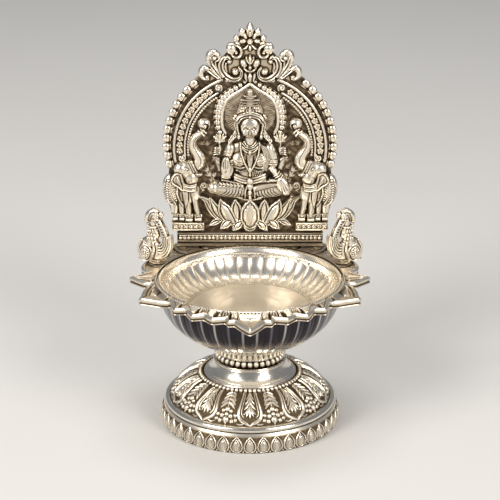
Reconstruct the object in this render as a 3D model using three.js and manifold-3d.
// Silver oil lamp: a spreading foot, a fluted bowl with a spouted rim, two peacocks and a tall back plate.
// Millimetres, +Z up, front towards -Y. The origin is the centre of the foot, on the surface it stands on.
// The bowl and all that it carries screws off the foot at the neck, where a ring of beads lies loose.
import * as THREE from 'three';
import { mergeVertices } from 'three/addons/utils/BufferGeometryUtils.js';
import Module from 'manifold-3d';

const wasm = await Module();
wasm.setup();

// General sizes
const fit = 0.3; // gap between pieces that are seated on each other
const turnSegments = 36; // facets round the turned pieces

// Foot sizes
const bandRadius = 41; // widest part of the petal band
const bandFootDrawIn = 0.7; // how far the band draws in at the surface it stands on
const bandTopDrawIn = 1.7; // how far it draws in at the top
const bandHeight = 9.2;
const bandWall = 2.2;
const ledgeWidth = 5.5; // ledge inside the band's top that carries the moulding and the dome
const ledgeThickness = 1.4;
const basePlateThickness = 1;
const basePlateRecess = 0.8; // height of the closing plate above the surface
const mouldingWidth = 2.5;
const mouldingHeight = 2.5;
const domeWall = 1.3;
const domeSkirt = 1.3; // upright part of the dome beside the moulding
const domeRise = 11.5; // curved part of the dome
const domeFullness = 1.55; // exponent of the dome's curve, 2 is a quarter ellipse
const domeSeatDepth = 1.1; // sunk seat that takes the bead ring and the collar
const footBeadRadius = 0.95;
const domeTopMargin = 0.1; // between the foot beads and the dome's top edge, past the fit
const collarRadius = 21.4;
const collarHeight = 8.8;
const collarFootHeight = 2.4;
const neckRadius = 16.7;
const neckBandHeight = 1.1;
const bushRadius = 6.5;
const bushFlangeRadius = 9.5;
const bushFlangeThickness = 1.4;

// Neck sizes
const studRadius = 4.2;
const studReach = 8; // length of the stud below the collar's top
const studHeadRadius = 8;
const studHeadThickness = 2;
const neckBeadCount = 34;
const neckBeadSize = 2.9;
const neckRingReach = 16.4; // outer reach of the neck beads

// Bowl sizes
const seatRadius = 21;
const seatFootRadius = 15.6;
const seatFloor = 2.5;
const seatRimHeight = 0.8;
const bowlRadius = 41.2;
const bowlDepth = 29; // from the level where the bowl stands upright to its underside
const bowlFullness = 2.2; // exponent of the bowl's curve, 2 is a quarter ellipse
const shellWall = 1.2;
const fluteCount = 40;
const gadroonSwell = 0.35;
const shellHeight = 27.9; // from its underside to its top edge
const dishWall = 1.2;
const dishFloorRadius = 27.2;
const dishDepth = 14; // from the lip's top to the floor
const dishFluteSwell = 0.35;
const lipOverhang = 0.4; // how far the lip reaches past the shell
const lipHeight = 0.9;
const lipBand = 2.6; // plain band between the lip and the flutes
const lipBeadRadius = 0.6;

// Rim sizes: angles are from the front, in degrees, and mirrored
const rimThickness = 2.6;
const rimOverhang = 17; // of the front spout past the lip
const rimValley = 0.353; // shares of that overhang: between the lobes, and out to each tip and lobe
const rimTips = [ // half width in degrees, and the one behind where it differs
  { angle: 0, out: 1, half: 9 },
  { angle: 65.8, out: 0.718, half: 9, rear: 19.5 },
  { angle: 95, out: 0.812, half: 9 },
  { angle: 180, out: 1, half: 12 },
];
const rimLobes = [
  { angle: 12.5, out: 0.553, half: 5 },
  { angle: 23, out: 0.53, half: 6.5 },
  { angle: 36.5, out: 0.506, half: 7 },
  { angle: 50.5, out: 0.482, half: 7 },
  { angle: 118.5, out: 0.759, half: 15 },
  { angle: 144, out: 1.141, half: 11 },
  { angle: 158, out: 0.935, half: 10 },
];
const wickAngles = [-65.8, 0, 65.8];
const wickGrooveDepth = 1.2;
const wickGrooveHalfWidth = 5.5;
const wickLip = 1.8; // rim left standing at the spout's tip

// Back plate sizes
const plinthWidth = 68.6;
const plinthHeight = 6.5;
const plinthDepth = 6.2;
const plinthFrontThickness = 2.6;
const plinthSlotDepth = 2.7;
const plinthCornice = 0.8;
const plateThickness = 1.6;
const archHeight = 44.1; // of the arch's centre above the plinth
const crestRise = 57.1; // of the crest's tip above the arch's centre
const archRadius = 39.2;
const archFootAngle = -17; // the arch reaches this far below its centre, in degrees
const waistWidth = 75.6;
const plateShoulderWidth = 78.4;
const plateFootWidth = 72.8;
const beadBorderReach = 40.7;
const beadBorderWidth = 3.8;
const beadBorderCount = 11;
const beadBorderTopAngle = 51;
const beadBorderDrop = 0.8; // of its centre below the arch's
const borderThickness = 2.2;
const outerRibRadius = 35.4;
const innerRibRadius = 29.6;
const ribThickness = 1.5;
const ribDrop = 2.8; // of the ribs' and the flowers' centre below the arch's
const outerRibFootAngle = -11;
const outerRibTopAngle = 69;
const innerRibFootAngle = -7;
const innerRibTopAngle = 59;
const voluteRadius = 2.1; // of the spirals that end the inner rib
const flowerRadius = 32.5;
const flowerWidth = 3.2;
const flowerCount = 13;
const flowerMargin = 3; // degrees between the flowers and each end of the inner rib
const flowerThickness = 1.5;
const haloRise = 14.5; // of the halo's centre above the arch's centre
const haloRadius = 12.7;
const haloTipRise = 13.7; // of its pointed top above its centre
const haloTailDrop = 11;
const haloThickness = 1.5;
const haloPetalWidth = 2.7;
const haloPetalCount = 11;
const crestThickness = 2.6;
const crestHalfWidth = 23.4;

// Figure sizes
const reliefRise = 1.8; // of the blocks and the lotus above the plinth
const crownClearance = 1.4; // between the crown and the halo's tip
const kneeSpan = 40.3;
const lotusHeight = 14.7;
const lotusSpan = 43.2;
const lotusDepth = 6;
const elephantBlockHeight = 3.7;
const elephantBlockWidth = 15.6;
const elephantBlockDepth = 4.6;
const elephantHeight = 49.4; // from its block to the top of the raised trunk
const peacockHeight = 24.6;
const peacockAngle = 118; // from the front
const peacockFootRadius = 4;
const peacockSetback = 1.4; // between the lip's beads and the peacock's foot

// Fastener sizes
const pinRadius = 1.1;
const pinClearance = 0.3;
const nutRadius = 2.4;
const nutThickness = 1.6;
const screwPlace = 22; // of each plinth screw from the middle

// Heights and radii that follow
const bandTopRadius = bandRadius - bandTopDrawIn;
const ledgeRadius = bandTopRadius - ledgeWidth;
const footBeadPlace = collarRadius + fit + footBeadRadius;
const domeTopRadius = footBeadPlace + footBeadRadius + fit + domeTopMargin;
const domeSkirtRadius = bandTopRadius - mouldingWidth - fit;
const domeBase = bandHeight + fit;
const domeTop = domeBase + domeSkirt + domeRise;
const domeSeat = domeTop - domeSeatDepth;
const collarBase = domeSeat + fit;
const collarTop = collarBase + collarHeight;
const neckRingBase = collarTop + fit;
const seatBase = neckRingBase + neckBeadSize + fit;
const shellBase = seatBase + seatFloor + fit;
const bowlLevel = shellBase + bowlDepth;
const shellTop = shellBase + shellHeight;
const rimBase = shellTop + fit;
const rimTop = rimBase + rimThickness;
const lipTop = rimTop + fit + lipHeight;
const lipRadius = bowlRadius + lipOverhang;
const rimHole = bowlRadius - shellWall;
const dishRadius = rimHole - fit; // outside of the dish where it passes the rim
const studBore = studRadius + fit;
const lipBeadPlace = lipRadius + fit + lipBeadRadius;
const plinthBase = rimTop + fit;
const plinthTop = plinthBase + plinthHeight;
const plinthFront = lipBeadPlace + lipBeadRadius + fit;
const plateFront = plinthFront + plinthFrontThickness + fit;
const plateBack = plateFront + plateThickness;
const plateMiddle = (plateFront + plateBack) / 2;
const reliefBack = plateFront - fit; // back face of everything that is mounted on the plate
const reliefBase = plinthTop + reliefRise;
const plateFoot = plinthTop + fit; // where the plate widens, above the plinth
const archCentre = plinthTop + archHeight;
const plinthHalf = plinthWidth / 2;
const peacockPlace = lipBeadPlace + lipBeadRadius + peacockSetback + peacockFootRadius;
const haloCentre = archCentre + haloRise;
const haloTop = haloCentre + haloTipRise + haloThickness / 2;
const crestRoot = haloTop + fit; // foot of the fleuron that stands on the halo
const crestHeight = archCentre + crestRise - crestRoot;

const degrees = (angle) => (angle * Math.PI) / 180;
const mirrored = (points) => [...points, ...points.map(([x, z]) => [-x, z]).reverse()];

// Turns any closed geometry into a clean one: shared corners merged, empty faces dropped, faces outwards
function clean(geometry) {
  const bare = new THREE.BufferGeometry();
  bare.setAttribute('position', geometry.attributes.position.clone());
  if (geometry.index) bare.setIndex(geometry.index.clone());
  const merged = mergeVertices(bare, 1e-4);
  const corner = (index) => new THREE.Vector3().fromBufferAttribute(merged.attributes.position, index);
  const index = merged.index.array;
  const faces = [];
  let volume = 0;
  for (let i = 0; i < index.length; i += 3) {
    const [a, b, c] = [index[i], index[i + 1], index[i + 2]];
    if (a === b || b === c || c === a) continue;
    faces.push([a, b, c]);
    volume += corner(a).dot(corner(b).cross(corner(c)));
  }
  merged.setIndex(faces.flatMap(([a, b, c]) => (volume < 0 ? [a, c, b] : [a, b, c])));
  return merged;
}

function toSolid(geometry) {
  const tidy = clean(geometry);
  const vertProperties = Float32Array.from(tidy.attributes.position.array);
  const triVerts = Uint32Array.from(tidy.index.array);
  return new wasm.Manifold(new wasm.Mesh({ numProp: 3, vertProperties, triVerts }));
}

function fromSolid(solid) {
  const mesh = solid.getMesh();
  const geometry = new THREE.BufferGeometry();
  geometry.setAttribute('position', new THREE.BufferAttribute(mesh.vertProperties, 3));
  geometry.setIndex(new THREE.BufferAttribute(mesh.triVerts, 1));
  return geometry;
}

const joined = (geometries) => fromSolid(geometries.map(toSolid).reduce((all, next) => all.add(next)));
const cut = (geometry, cutters) =>
  fromSolid(cutters.map(toSolid).reduce((all, next) => all.subtract(next), toSolid(geometry)));

// Turned piece: a profile of [radius, height, swell]; the swell waves in and out once for each lobe
function turned(profile, segments = turnSegments, lobes = 0) {
  const points = profile.map(([radius, height]) => new THREE.Vector2(radius, height));
  if (profile[0][0] > 0) points.push(points[0].clone());
  const geometry = new THREE.LatheGeometry(points, segments);
  const position = geometry.attributes.position;
  for (let i = 0; lobes > 0 && i < position.count; i += 1) {
    const swell = profile[(i % points.length) % profile.length][2] ?? 0;
    const angle = Math.atan2(position.getX(i), position.getZ(i));
    const radius = Math.hypot(position.getX(i), position.getZ(i));
    const wave = 1 + (swell * Math.cos(lobes * angle)) / Math.max(radius, 1);
    position.setXYZ(i, position.getX(i) * wave, position.getY(i), position.getZ(i) * wave);
  }
  return geometry.rotateX(Math.PI / 2);
}

// Points of a quarter curve from its outer foot (radius, low) to its inner top (innerRadius, high)
function quarterCurve(radius, low, innerRadius, high, fullness, steps) {
  return Array.from({ length: steps + 1 }, (_, step) => {
    const turn = (step / steps) * (Math.PI / 2);
    const across = Math.max(Math.cos(turn), 0) ** (2 / fullness);
    const along = Math.sin(turn) ** (2 / fullness);
    return [innerRadius + (radius - innerRadius) * across, low + (high - low) * along];
  });
}

// Height of the bowl's outside at a radius
const bowlHeightAt = (radius) =>
  bowlLevel - bowlDepth * (1 - (radius / bowlRadius) ** bowlFullness) ** (1 / bowlFullness);

// Flat piece of an outline of [x, z] points, between two distances behind the axis
function slab(outline, front, back) {
  const shape = new THREE.Shape(outline.map(([x, z]) => new THREE.Vector2(x, z)));
  const geometry = new THREE.ExtrudeGeometry(shape, { depth: back - front, bevelEnabled: false });
  return geometry.rotateX(Math.PI / 2).translate(0, back, 0);
}

// Round bar along points of [x, y, z]
function bar(points, radius, steps, sides = 6) {
  const path = new THREE.CatmullRomCurve3(points.map(([x, y, z]) => new THREE.Vector3(x, y, z)));
  const section = new THREE.Shape();
  for (let side = 0; side < sides; side += 1) {
    const turn = (side / sides) * 2 * Math.PI;
    section[side ? 'lineTo' : 'moveTo'](radius * Math.cos(turn), radius * Math.sin(turn));
  }
  return new THREE.ExtrudeGeometry(section, { extrudePath: path, steps, bevelEnabled: false });
}

const ball = ([x, y, z], [width, depth, height], around = 8, up = 5) =>
  new THREE.SphereGeometry(1, around, up)
    .rotateX(Math.PI / 2)
    .scale(width, depth, height)
    .translate(x, y, z);

const block = ([x, y, z], [width, depth, height]) =>
  new THREE.BoxGeometry(width, depth, height).translate(x, y, z);

const post = (x, y, low, high, radius, sides = 12) =>
  new THREE.CylinderGeometry(radius, radius, high - low, sides)
    .rotateX(Math.PI / 2)
    .translate(x, y, (low + high) / 2);

// Everything behind the plate's front face is taken off a relief piece, so that it lies flat
const behindRelief = () => {
  const size = [archRadius * 4, archRadius * 2, archCentre * 2];
  return block([0, reliefBack + archRadius, archCentre], size);
};

const group = new THREE.Group();
const finishes = {
  bright: { color: 0xd9d4ca, roughness: 0.16, metalness: 1 },
  antique: { color: 0xb9ae9b, roughness: 0.34, metalness: 1 },
  hidden: { color: 0x9a948a, roughness: 0.45, metalness: 1 },
};

function add(name, geometry, finish, [x, y, z] = [0, 0, 0], turn = 0) {
  const mesh = new THREE.Mesh(clean(geometry), new THREE.MeshStandardMaterial(finishes[finish]));
  mesh.name = name;
  mesh.position.set(x, y, z);
  mesh.rotation.z = turn;
  group.add(mesh);
}

// Foot
function footBand() {
  const inner = bandRadius - bandFootDrawIn - bandWall;
  return turned([
    [bandRadius - bandFootDrawIn, 0],
    [bandRadius, bandHeight * 0.28],
    [bandRadius - 0.3, bandHeight * 0.6],
    [bandTopRadius, bandHeight],
    [ledgeRadius, bandHeight],
    [ledgeRadius, bandHeight - ledgeThickness],
    [inner, bandHeight - ledgeThickness],
    [inner, 0],
  ]);
}

function rimMoulding() {
  const outer = bandTopRadius;
  const inner = bandTopRadius - mouldingWidth;
  return turned([
    [outer - 0.5, 0],
    [outer, mouldingHeight * 0.3],
    [outer - 0.25, mouldingHeight * 0.72],
    [outer - 1, mouldingHeight],
    [inner + 0.5, mouldingHeight],
    [inner, mouldingHeight * 0.75],
    [inner, 0],
  ]);
}

function dome() {
  const skirt = domeSkirtRadius;
  const outside = quarterCurve(skirt, domeSkirt, domeTopRadius, domeTop - domeBase, domeFullness, 4);
  const top = domeTop - domeBase - domeWall;
  const inside = quarterCurve(skirt - domeWall, domeSkirt, domeTopRadius, top, domeFullness, 2);
  const seat = domeSeat - domeBase;
  const bore = bushRadius + fit;
  return turned([
    [skirt - domeWall, 0],
    [skirt, 0],
    ...outside,
    [domeTopRadius - 0.1, seat],
    [bore, seat],
    [bore, seat - domeWall],
    [domeTopRadius - 1.4, seat - domeWall],
    ...inside.slice(0, -1).reverse(),
  ]);
}

function collar() {
  const bore = bushRadius + fit;
  const bandFoot = collarHeight - neckBandHeight;
  return turned([
    [bore, 0],
    [collarRadius, 0],
    [collarRadius, collarFootHeight],
    [collarRadius - 2, collarFootHeight + 0.8],
    [neckRadius + 0.8, collarFootHeight + 2.6],
    [neckRadius - 0.3, bandFoot],
    [neckRadius, bandFoot],
    [neckRadius, collarHeight],
    [bore, collarHeight],
  ]);
}

// The bush is soldered into the collar; its flange bears against the dome from below
function bush() {
  const flangeTop = domeSeat - domeWall - fit;
  const length = collarTop - 0.4 - (flangeTop - bushFlangeThickness);
  const profile = [
    [studBore, 0],
    [bushFlangeRadius, 0],
    [bushFlangeRadius, bushFlangeThickness],
    [bushRadius, bushFlangeThickness],
    [bushRadius, length],
    [studBore, length],
  ];
  add('foot_bush', turned(profile, 24), 'hidden', [0, 0, flangeTop - bushFlangeThickness]);
}

function basePlate() {
  const radius = bandRadius - bandFootDrawIn - bandWall - fit;
  return turned([
    [0, 0],
    [radius, 0],
    [radius, basePlateThickness],
    [0, basePlateThickness],
  ]);
}

function wireRing(place, radius, segments, sides) {
  const around = Array.from({ length: sides }, (_, side) => (side / sides) * 2 * Math.PI);
  return turned(around.map((turn) => [place + radius * Math.cos(turn), radius * Math.sin(turn)]), segments);
}

add('foot_band', footBand(), 'antique');
add('foot_base_plate', basePlate(), 'hidden', [0, 0, basePlateRecess]);
add('foot_rim_moulding', rimMoulding(), 'bright', [0, 0, bandHeight + fit]);
add('foot_dome', dome(), 'antique', [0, 0, domeBase]);
const footBeads = wireRing(footBeadPlace, footBeadRadius, turnSegments, 5);
add('foot_bead_ring', footBeads, 'antique', [0, 0, domeSeat + fit + footBeadRadius]);
add('foot_collar', collar(), 'bright', [0, 0, collarBase]);
bush();

// Neck: a washer whose edge is a row of beads
function neckBeads() {
  const bead = neckBeadSize / 2;
  const place = neckRingReach - bead;
  const profile = [
    [studBore, bead * 0.4],
    [place - bead * 0.6, bead * 0.4],
    [place, 0, bead * 0.1],
    [place + bead * 0.7, bead * 0.6, bead * 0.28],
    [place + bead * 0.7, bead * 1.4, bead * 0.28],
    [place, bead * 2, bead * 0.1],
    [place - bead * 0.6, bead * 1.6],
    [studBore, bead * 1.6],
  ];
  return turned(profile, neckBeadCount * 2, neckBeadCount);
}
add('neck_bead_ring', neckBeads(), 'antique', [0, 0, neckRingBase]);

// Bowl
function cupSeat() {
  const rimZ = bowlHeightAt(seatRadius) - seatBase - fit;
  const spread = seatRadius - seatFootRadius;
  const hollow = [0.35, 0.6, 0.85].map((share) => {
    const radius = seatRadius * share;
    return [radius, bowlHeightAt(radius) - seatBase - fit];
  });
  return turned([
    [studBore, 0],
    [seatFootRadius, 0],
    [seatFootRadius + spread * 0.2, rimZ * 0.3],
    [seatFootRadius + spread * 0.53, rimZ * 0.58],
    [seatRadius, rimZ - seatRimHeight],
    [seatRadius, rimZ],
    ...hollow.reverse(),
    [studBore, seatFloor],
  ]);
}

// The stud's head is soldered inside the shell; its shank passes the seat and the loose ring into the bush
function stud() {
  const foot = collarTop - studReach;
  const headBase = shellBase + shellWall + fit;
  const headTop = headBase + studHeadThickness;
  return turned([
    [0, foot],
    [studRadius - 0.6, foot],
    [studRadius, foot + 0.6],
    [studRadius, headBase],
    [studHeadRadius, headBase],
    [studHeadRadius, headTop],
    [0, headTop],
  ], 20);
}

function bowlShell() {
  const topUp = shellTop - shellBase;
  const level = bowlLevel - shellBase;
  const insideDepth = bowlDepth - shellWall;
  const surface = (radius, width, depth) =>
    level - depth * (1 - (radius / width) ** bowlFullness) ** (1 / bowlFullness);
  const outside = [0.58, 0.76, 0.9, 0.98].map((share) => {
    const radius = bowlRadius * share;
    return [radius, surface(radius, bowlRadius, bowlDepth), gadroonSwell];
  });
  const inside = [0.6, 0.93].map((share) => {
    const radius = (bowlRadius - shellWall) * share;
    return [radius, surface(radius, bowlRadius - shellWall, insideDepth)];
  });
  return turned([
    [studBore, 0],
    [seatFootRadius * 0.7, surface(seatFootRadius * 0.7, bowlRadius, bowlDepth)],
    ...outside,
    [bowlRadius, topUp],
    [bowlRadius - shellWall, topUp],
    ...inside.reverse(),
    [studHeadRadius + 1, shellWall],
    [studBore, shellWall],
  ], fluteCount * 2, fluteCount);
}

// Profile of the dish from its floor up to the lip, and back along its outside, which hangs inside the shell
function oilDish() {
  const floor = lipTop - dishDepth;
  const bandFoot = lipTop - lipBand;
  const bandRadiusLow = dishRadius - dishWall;
  const shares = [0.35, 0.7];
  const wall = (thickness) => shares.map((share) => {
    const radius = dishFloorRadius + (bandRadiusLow - dishFloorRadius) * share ** 0.8;
    const height = floor + (bandFoot - floor) * share ** 1.25;
    return [radius + thickness * 0.6, height - thickness * 0.8, dishFluteSwell];
  });
  return turned([
    [0, floor],
    [dishFloorRadius, floor + 0.2],
    ...wall(0),
    [bandRadiusLow, bandFoot],
    [bandRadiusLow + 1.1, lipTop],
    [lipRadius - 0.3, lipTop],
    [lipRadius, lipTop - lipHeight / 2],
    [dishRadius, lipTop - lipHeight],
    [dishRadius, rimBase - fit],
    ...wall(dishWall).reverse(),
    [dishFloorRadius, floor - dishWall],
    [0, floor - dishWall],
  ], fluteCount * 2, fluteCount);
}

// Distance of the rim's edge from the axis at an angle from the front: pointed tips and rounded lobes
function rimReach(angle) {
  const away = Math.abs(((angle + 540) % 360) - 180);
  const swell = (features, rise) => features.map(({ angle: centre, out, half, rear = half }) => {
    const offset = away > centre ? (away - centre) / rear : (centre - away) / half;
    return rimValley + (out - rimValley) * (offset < 1 ? rise(offset) : 0);
  });
  const tips = swell(rimTips, (offset) => (1 - offset) ** 1.15);
  const lobes = swell(rimLobes, (offset) => Math.sqrt(1 - offset ** 2));
  return lipRadius + rimOverhang * Math.max(...tips, ...lobes);
}

// A point of the lamp's plan at an angle from the front
const planPoint = (angle, radius) =>
  new THREE.Vector2(radius * Math.sin(degrees(angle)), -radius * Math.cos(degrees(angle)));

function rimAngles() {
  const stops = [...rimTips, ...rimLobes].flatMap(({ angle, half, rear = half }) =>
    [-1, -0.86, -0.5, 0, 0.5, 0.86, 1].map((share) => angle + share * (share > 0 ? rear : half)));
  const oneSide = stops.filter((angle) => angle >= 0 && angle <= 180);
  const both = [...oneSide, ...oneSide.map((angle) => -angle)].sort((a, b) => a - b);
  return both.filter((angle, i) => i === 0 || angle - both[i - 1] > 0.6).slice(1);
}

// V-shaped trough that leads a wick from the dish to the tip of a spout
function wickGroove(angle) {
  const reach = rimReach(angle) - wickLip;
  const near = rimHole - 1;
  const wedge = new THREE.Shape([
    new THREE.Vector2(-wickGrooveHalfWidth, -near),
    new THREE.Vector2(0, -reach),
    new THREE.Vector2(wickGrooveHalfWidth, -near),
  ]);
  const geometry = new THREE.ExtrudeGeometry(wedge, { depth: wickGrooveDepth + 1, bevelEnabled: false });
  return geometry.translate(0, 0, rimTop - wickGrooveDepth).rotateZ(degrees(angle));
}

const peacockSpots = [-1, 1].map((side) => planPoint(side * peacockAngle, peacockPlace));
const screwSpots = [-1, 1].map((side) => new THREE.Vector2(side * screwPlace, plateMiddle));

function rimFlange() {
  const shape = new THREE.Shape(rimAngles().map((angle) => planPoint(angle, rimReach(angle))));
  const hole = new THREE.Path();
  hole.setFromPoints(Array.from({ length: 56 }, (_, i) => planPoint((i / 56) * 360, rimHole)));
  shape.holes.push(hole);
  const plate = new THREE.ExtrudeGeometry(shape, { depth: rimThickness, bevelEnabled: false });
  plate.translate(0, 0, rimBase);
  const holes = [...peacockSpots, ...screwSpots].map(({ x, y }) =>
    post(x, y, rimBase - 1, rimTop + 1, pinRadius + pinClearance));
  return cut(plate, [...wickAngles.map(wickGroove), ...holes]);
}

add('cup_seat', cupSeat(), 'bright', [0, 0, seatBase]);
add('bowl_stud', stud(), 'hidden');
add('bowl_shell', bowlShell(), 'bright', [0, 0, shellBase]);
add('oil_dish', oilDish(), 'bright');
add('rim_flange', rimFlange(), 'antique');
const lipBeads = wireRing(lipBeadPlace, lipBeadRadius, 56, 4);
add('lip_bead_ring', lipBeads, 'antique', [0, 0, rimTop + fit + lipBeadRadius]);

// Plinth: a moulded bar with a slot that holds the plate's foot
function plinth() {
  const slotFloor = plinthHeight - plinthSlotDepth;
  const slotFront = plinthFrontThickness;
  const slotBack = slotFront + plateThickness + 2 * fit;
  const profile = [
    [0, 0],
    [plinthDepth, 0],
    [plinthDepth, plinthHeight - 1],
    [slotBack, plinthHeight - 1],
    [slotBack, slotFloor],
    [slotFront, slotFloor],
    [slotFront, plinthHeight],
    [0, plinthHeight],
    [0, plinthHeight - 1],
    [plinthCornice, plinthHeight - 1.3],
    [plinthCornice, plinthHeight * 0.42],
    [0, plinthHeight * 0.25],
  ];
  const shape = new THREE.Shape(profile.map(([y, z]) => new THREE.Vector2(y, z)));
  const moulded = new THREE.ExtrudeGeometry(shape, { depth: plinthWidth, bevelEnabled: false });
  moulded.rotateX(Math.PI / 2).rotateZ(Math.PI / 2).translate(-plinthHalf, plinthFront, plinthBase);
  const bores = screwSpots.map(({ x, y }) =>
    post(x, y, plinthBase - 1, plinthBase + slotFloor - 0.8, pinRadius + pinClearance));
  return cut(moulded, bores);
}

const archPoint = (angle, radius, drop = 0) =>
  [radius * Math.cos(degrees(angle)), archCentre - drop + radius * Math.sin(degrees(angle))];

const steps = (count, from, to) =>
  Array.from({ length: count + 1 }, (_, i) => from + ((to - from) * i) / count);

function backPlate() {
  const slotFloor = plinthTop - plinthSlotDepth;
  const shoulder = plateFoot + elephantBlockHeight;
  const rise = archCentre - shoulder;
  const arch = steps(13, archFootAngle, 90).slice(0, -1).map((angle) => archPoint(angle, archRadius));
  const right = [
    [plinthHalf - 1, slotFloor + fit],
    [plinthHalf - 1, plateFoot],
    [plateFootWidth / 2, plateFoot],
    [plateFootWidth / 2, shoulder + rise * 0.08],
    [plateShoulderWidth / 2 - 0.8, shoulder + rise * 0.25],
    [plateShoulderWidth / 2, shoulder + rise * 0.42],
    [waistWidth / 2, shoulder + rise * 0.58],
    ...arch,
  ];
  return slab(mirrored(right), plateFront, plateBack);
}

// Curved strip between two radii whose outer edge, and inner edge if asked, is a row of rounded beads
function beadStrip({ inner, outer, drop, from, to, count, depth, scallop, bothEdges = false }) {
  const offsets = [0, 0.16, 0.5, 0.84];
  const dip = (share) => (share === 0 ? scallop : share === 0.5 ? 0 : scallop * 0.25);
  const edge = (radius, sign) => {
    const beads = steps(count, from, to).slice(0, -1);
    const pitch = (to - from) / count;
    const points = beads.flatMap((start) =>
      offsets.map((share) => archPoint(start + share * pitch, radius - sign * dip(share), drop)));
    return [...points, archPoint(to, radius - sign * scallop, drop)];
  };
  const plain = steps(Math.ceil(count * 0.8), from, to).map((angle) => archPoint(angle, inner, drop));
  const inside = bothEdges ? edge(inner, -1) : plain;
  return slab([...edge(outer, 1), ...inside.reverse()], reliefBack - depth, reliefBack);
}

const mirror = (geometry, side) => (side > 0 ? geometry : geometry.clone().scale(-1, 1, 1));

// Rib that follows the arch; the inner one ends in a small volute above and below
function rib(radius, footAngle, topAngle, volutes) {
  const half = ribThickness / 2;
  const depth = reliefBack - half;
  const line = steps(9, footAngle, topAngle).map((angle) => archPoint(angle, radius, ribDrop));
  const arc = bar(line.map(([x, z]) => [x, depth, z]), half, 18, 5);
  const knobs = volutes.map((angle) => {
    const [x, z] = archPoint(angle, radius + voluteRadius * 1.1, ribDrop);
    return new THREE.CylinderGeometry(voluteRadius, voluteRadius, ribThickness, 12).translate(x, depth, z);
  });
  return joined([arc, ...knobs]);
}

for (const [side, label] of [[-1, 'left'], [1, 'right']]) {
  const border = beadStrip({
    inner: beadBorderReach - beadBorderWidth,
    outer: beadBorderReach,
    drop: beadBorderDrop,
    from: archFootAngle,
    to: beadBorderTopAngle,
    count: beadBorderCount,
    depth: borderThickness,
    scallop: 0.9,
  });
  const flowers = beadStrip({
    inner: flowerRadius - flowerWidth / 2,
    outer: flowerRadius + flowerWidth / 2,
    drop: ribDrop,
    from: innerRibFootAngle + flowerMargin,
    to: innerRibTopAngle - flowerMargin,
    count: flowerCount,
    depth: flowerThickness,
    scallop: 0.6,
    bothEdges: true,
  });
  const voluteAngles = [innerRibFootAngle - 2, innerRibTopAngle + 2];
  const innerRib = rib(innerRibRadius, innerRibFootAngle, innerRibTopAngle, voluteAngles);
  const outerRib = rib(outerRibRadius, outerRibFootAngle, outerRibTopAngle, []);
  add(`arch_bead_border_${label}`, mirror(border, side), 'antique');
  add(`arch_outer_rib_${label}`, mirror(outerRib, side), 'bright');
  add(`arch_inner_rib_${label}`, mirror(innerRib, side), 'bright');
  add(`arch_flower_border_${label}`, mirror(flowers, side), 'antique');
}
add('plinth', plinth(), 'antique');
add('back_plate', backPlate(), 'antique');

// Halo: an ogee rib that comes to a point, with a petal border outside it. These are the points of its
// right half, from the lower end up to the tip, swollen by a margin.
function ogee(margin) {
  const radius = haloRadius + margin;
  return [
    [radius * 0.83, haloCentre - haloTailDrop],
    [radius, haloCentre - haloTailDrop * 0.45],
    [radius * 0.99, haloCentre],
    [radius * 0.82, haloCentre + radius * 0.5],
    [radius * 0.45, haloCentre + radius * 0.82],
    [radius * 0.12, haloCentre + haloTipRise * 0.9 + margin * 0.6],
  ];
}

function haloRib() {
  const half = haloThickness / 2;
  const right = ogee(0);
  const left = right.map(([x, z]) => [-x, z]).reverse();
  const route = [...right, [0, haloCentre + haloTipRise], ...left];
  return bar(route.map(([x, z]) => [x, reliefBack - half, z]), half, 26, 5);
}

function haloPetals() {
  const inner = haloThickness / 2 + fit;
  const line = (margin, count) => {
    const foot = [(haloRadius + margin) * 0.96, haloCentre - haloTailDrop * 0.72];
    const points = [foot, ...ogee(margin).slice(1)];
    const path = new THREE.CatmullRomCurve3(points.map(([x, z]) => new THREE.Vector3(x, 0, z)));
    return path.getSpacedPoints(count).slice(0, -1).map(({ x, z }) => [x, z]);
  };
  const outside = line(inner + haloPetalWidth, haloPetalCount * 3);
  const notched = line(inner + haloPetalWidth * 0.55, haloPetalCount * 3);
  const edge = outside.map((point, i) => (i % 3 === 0 ? notched[i] : point));
  return slab([...edge, ...line(inner, haloPetalCount).reverse()], reliefBack - flowerThickness, reliefBack);
}

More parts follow.
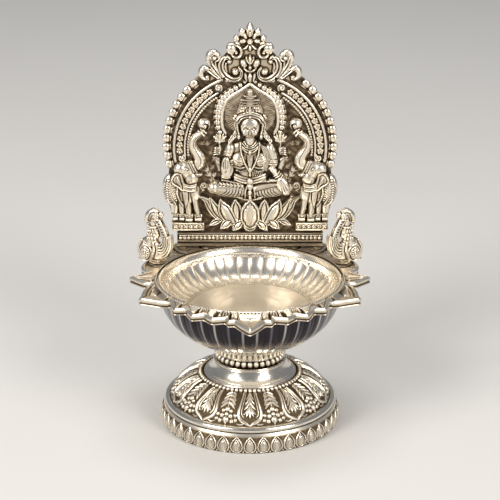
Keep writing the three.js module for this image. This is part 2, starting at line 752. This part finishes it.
// Crest: scrolls that rise from the outer ribs to a rosette and a bud
function crest() {
  const wide = crestHalfWidth / 23.4; // the scrolls are drawn 23.4 units to each side and 28 units tall
  const tall = crestHeight / 28;
  const place = ([x, z]) => [x * wide, crestRoot + z * tall];
  const seat = steps(3, 73, 54).map((angle) => archPoint(angle, outerRibRadius + ribThickness, ribDrop));
  const shoulders = [[3, 2.8], [8, 3.6]].map(place);
  const fleuron = [[0, crestRoot], [1.8 * wide, crestRoot + 0.4 * tall], ...shoulders];
  const rise = [
    [23.1, 2.9], [23.4, 5.1], [21.6, 6.7], [20.2, 8.7], [20.4, 11.1], [18.6, 13.1], [16.2, 12.7],
    [14.6, 10.8], [11.6, 12.9], [11.2, 15.5], [10.2, 17.5], [8.4, 18.5], [7.8, 20.8], [5.2, 21.6],
    [4.2, 23.6], [2.4, 24.4], [1.7, 26.3], [0, 28],
  ].map(place);
  const right = [...fleuron, ...seat, ...rise];
  const left = right.slice(1, -1).map(([x, z]) => [-x, z]).reverse();
  const front = reliefBack - crestThickness * 0.55;
  const sheet = slab([...right, ...left], front, reliefBack);
  const scroll = (points, radius) => [-1, 1].map((side) => {
    const route = points.map(([x, z]) => place([side * x, z])).map(([x, z]) => [x, front, z]);
    return bar(route, radius, 6, 5);
  });
  const bead = (x, z, size) => {
    const [across, up] = place([x, z]);
    return ball([across, front, up], [size, crestThickness * 0.45, size], 8, 5);
  };
  return joined([
    sheet,
    ...scroll([[2.6, 4.6], [7, 5.2], [8.6, 8.6], [5.8, 10.6]], 0.8),
    ...scroll([[7.4, 9.8], [13.4, 8.4], [17.4, 9.6]], 0.8),
    ...scroll([[12.6, 8.2], [17.6, 6.6], [20.8, 4.6]], 0.8),
    ...scroll([[2, 13.2], [5, 14.2], [9, 12.8], [9.4, 15.4]], 0.7),
    bead(0, 19, 2.2),
    bead(0, 24.4, 1.5),
    bead(0, 6, 1.9),
    ...[-1, 1].flatMap((side) => [
      bead(side * 6, 8.6, 1.4),
      bead(side * 17.6, 11.2, 1.4),
      bead(side * 21.4, 4.8, 1.3),
    ]),
  ]);
}

// Lotus seat: a bed with upright petals above and small ones hanging below
function lotusSeat() {
  const depth = lotusDepth;
  const mid = reliefBase + lotusHeight * 0.4;
  const wide = lotusSpan / 43.2; // the petals are drawn 43.2 units across and 16.4 units tall
  const tall = lotusHeight / 16.4;
  const petal = (across, lean, width, length) => {
    const half = (width / 2) * wide;
    const x = across * wide;
    const height = length * tall;
    const flank = [[half * 0.45, 0], [half, height * 0.5]];
    const shape = [...flank.map(([out, up]) => [-out, up]), [0, height], ...flank.reverse()];
    const forward = reliefBack - depth * (1 - Math.abs(across) / 40);
    return slab(shape, forward, reliefBack).rotateY(degrees(lean)).translate(x, 0, mid);
  };
  const uppers = [
    [0, 0, 8.4, 9.6], [5.4, 5, 4.6, 9.2], [10, 16, 6.6, 9.8], [13.6, 28, 4.4, 9.4], [16, 42, 3.8, 8.4],
  ];
  const lowers = [[0, 180, 6.4, 5.6], [5.2, 174, 4.6, 5.4], [10.4, 160, 5, 5.4], [14.8, 142, 4.6, 5.6]];
  const both = (list) => list.flatMap(([x, lean, width, height]) => {
    const right = petal(x, lean, width, height);
    return x === 0 ? [right] : [right, petal(-x, -lean, width, height)];
  });
  const bedOutline = mirrored([[17 * wide, mid - 0.8 * tall], [17.5 * wide, mid + 1.4 * tall]]);
  const bed = slab(bedOutline, reliefBack - depth * 0.4, reliefBack);
  return joined([bed, ...both(uppers), ...both(lowers)]);
}

// Goddess: seated cross-legged with four arms, crowned
function goddess() {
  const base = reliefBase + lotusHeight + fit;
  const crownTop = haloCentre + haloTipRise - haloThickness / 2 - crownClearance;
  const unit = (crownTop - base) / 55; // the figure is drawn 55 units tall and 41.7 units across
  const across = kneeSpan / 41.7;
  const place = (x, out, z) => [x * across, reliefBack - out * unit, base + z * unit];
  const form = (x, out, z, wide, deep, tall, around = 8, up = 5) =>
    ball(place(x, out, z), [wide * across, deep * unit, tall * unit], around, up);
  const limb = (points, radius) => bar(points.map((point) => place(...point)), radius * unit, 4, 5);
  const both = (make) => [-1, 1].flatMap((side) => make(side));
  const crown = new THREE.LatheGeometry(
    [[0, 0], [5.6, 0], [5.9, 2], [5, 6], [4, 7], [3.8, 9.4], [2.6, 10], [2.4, 12], [1, 13], [0, 16.4]]
      .map(([radius, height]) => new THREE.Vector2(radius * across, height * unit)), 10)
    .rotateX(Math.PI / 2).scale(1, 0.7, 1).translate(0, reliefBack - 2.6 * unit, base + 38.6 * unit);
  const solid = joined([
    crown,
    form(0, 2.8, 34, 4.7, 3.6, 5.9, 10, 7),
    form(0, 2.4, 28.4, 2.3, 2.4, 3.4),
    form(0, 2, 21.4, 8.6, 3.8, 6.6),
    form(0, 1.6, 13, 6, 3.6, 7),
    form(0, 2, 6, 15.5, 4.4, 5.4, 10, 6),
    ...both((side) => [
      form(side * 15.5, 2.4, 5.4, 5.6, 4.4, 4.6),
      form(side * 4.2, 3.4, 20, 3, 3, 3),
      form(side * 14.4, 1.2, 28.4, 3, 1.8, 2.9),
      limb([[8, 1.6, 22], [12, 1.4, 17], [13.6, 1.4, 19.4], [14.2, 1.4, 26.6]].map(([x, ...rest]) =>
        [side * x, ...rest]), 1.7),
    ]),
    limb([[-7.6, 2, 25], [-10, 2.8, 19], [-10.6, 3.8, 15]], 2.3),
    form(-11, 4.4, 14.8, 2.4, 1.6, 5),
    limb([[7.8, 2, 25], [10, 3, 17], [11.4, 3.8, 11.6], [15.4, 4.4, 8.4]], 2.3),
    form(16.4, 4.6, 5.4, 2.8, 1.6, 4.4),
    limb([[-14, 4.6, 3.4], [-4, 5.2, 2.6], [4, 5.2, 2.4], [8, 5, 3.4]], 2.2),
  ]);
  return cut(solid, [behindRelief()]);
}

// Elephant in profile with a raised trunk, facing the middle from the right
function elephant() {
  const base = reliefBase + elephantBlockHeight + fit;
  const unit = elephantHeight / 49.4; // drawn 49.4 units tall
  const place = (x, out, z) => [x * unit, reliefBack - out * unit, base + z * unit];
  const form = (x, out, z, wide, deep, tall, around = 8, up = 5) =>
    ball(place(x, out, z), [wide * unit, deep * unit, tall * unit], around, up);
  const limb = (points, radius, count = 5) =>
    bar(points.map((point) => place(...point)), radius * unit, count, 5);
  const trunk = [
    [25.4, 3, 24], [21.8, 3.2, 26], [20.8, 3, 31], [23, 2.6, 36], [25.6, 2.2, 40], [24.4, 2, 44],
  ];
  const solid = joined([
    form(34.8, 1.8, 15.6, 6.4, 4, 9.6),
    form(34, 1.8, 9.4, 4.6, 4, 9),
    form(29, 2.6, 22.6, 5.2, 4, 5.4),
    form(33, 3.8, 19, 2.8, 2.2, 5.2),
    limb(trunk, 2.1, 9),
    form(21.4, 2, 46, 3.4, 2.4, 3.4),
    limb([[25, 4.4, 21.6], [22, 4.8, 20.6], [20.4, 4.6, 21.8]], 0.8, 4),
    block(place(25.8, 1.9, 7.4), [5.2 * unit, 3.8 * unit, 14.8 * unit]),
    block(place(34.6, 1.9, 5), [5.6 * unit, 3.8 * unit, 10 * unit]),
    form(29.6, 1.4, 14, 6, 3.4, 5.4),
  ]);
  return cut(solid, [behindRelief()]);
}

function elephantBlock() {
  const centre = plateFootWidth / 2 + 0.4 - elephantBlockWidth / 2;
  const size = [elephantBlockWidth, elephantBlockDepth, elephantBlockHeight];
  return block([centre, reliefBack - elephantBlockDepth / 2, reliefBase + elephantBlockHeight / 2], size);
}

add('halo_rib', haloRib(), 'bright');
add('crest_scrollwork', crest(), 'antique');
add('lotus_seat', lotusSeat(), 'antique');
add('goddess_figure', goddess(), 'antique');
for (const [side, label] of [[-1, 'left'], [1, 'right']]) {
  add(`halo_petals_${label}`, mirror(haloPetals(), side), 'antique');
  add(`elephant_${label}`, mirror(elephant(), side), 'antique');
  add(`elephant_block_${label}`, mirror(elephantBlock(), side), 'antique');
}

// Peacock, standing with its breast outward and its tail raised behind; its pin goes down through the rim
function peacock() {
  const unit = peacockHeight / 24.6;
  const form = (x, y, z, wide, deep, tall, around = 8, up = 5) =>
    ball([x * unit, y * unit, z * unit], [wide * unit, deep * unit, tall * unit], around, up);
  const limb = (points, radius, count) =>
    bar(points.map((point) => point.map((value) => value * unit)), radius * unit, count, 5);
  return joined([
    post(0, 0, 0, 2.2 * unit, peacockFootRadius, 10),
    form(0, 0, 3, 3.6, 3.2, 2.2),
    form(1.8, 0, 8, 4.8, 3.7, 5.2),
    limb([[3.6, 0, 10], [4.4, 0, 15], [2.2, 0, 19], [3.4, 0, 21.2]], 2, 5),
    form(3.4, 0, 21, 2.4, 2, 2.2),
    limb([[4.6, 0, 21], [6.6, 0, 19.8], [7, 0, 18.4]], 0.8, 4),
    form(2.4, 0, 23, 1.3, 0.8, 1.6, 8, 5),
    form(-3.6, 0, 9.4, 3.4, 2.6, 7.6),
    form(-2.2, 0, 14.6, 2, 1.6, 3.4),
    post(0, 0, -rimThickness - nutThickness - 2 * fit - fit, 1, pinRadius),
  ]);
}

// Hexagon nut on a peacock's pin, below the rim
function nut() {
  const shape = new THREE.Shape(Array.from({ length: 6 }, (_, i) => planPoint(i * 60, nutRadius)));
  const bore = new THREE.Path();
  bore.setFromPoints(Array.from({ length: 12 }, (_, i) => planPoint(i * 30, pinRadius + pinClearance)));
  shape.holes.push(bore);
  return new THREE.ExtrudeGeometry(shape, { depth: nutThickness, bevelEnabled: false });
}

// Slotted screw that enters the plinth from below the rim
function screw() {
  const length = rimThickness + fit + (plinthHeight - plinthSlotDepth) * 0.6;
  const head = post(0, 0, -nutThickness, 0, nutRadius, 16);
  const shank = post(0, 0, -0.5, length + fit, pinRadius);
  const slot = block([0, 0, -nutThickness], [nutRadius * 3, 0.6, 1.2]);
  return cut(joined([head, shank]), [slot]);
}

for (const [i, label] of [[0, 'left'], [1, 'right']]) {
  const { x, y } = peacockSpots[i];
  const outward = Math.atan2(y, x);
  add(`peacock_${label}`, peacock(), 'antique', [x, y, rimTop + fit], outward);
  add(`peacock_nut_${label}`, nut(), 'hidden', [x, y, rimBase - fit - nutThickness]);
  add(`plinth_screw_${label}`, screw(), 'hidden', [screwSpots[i].x, screwSpots[i].y, rimBase - fit]);
}

export default group;
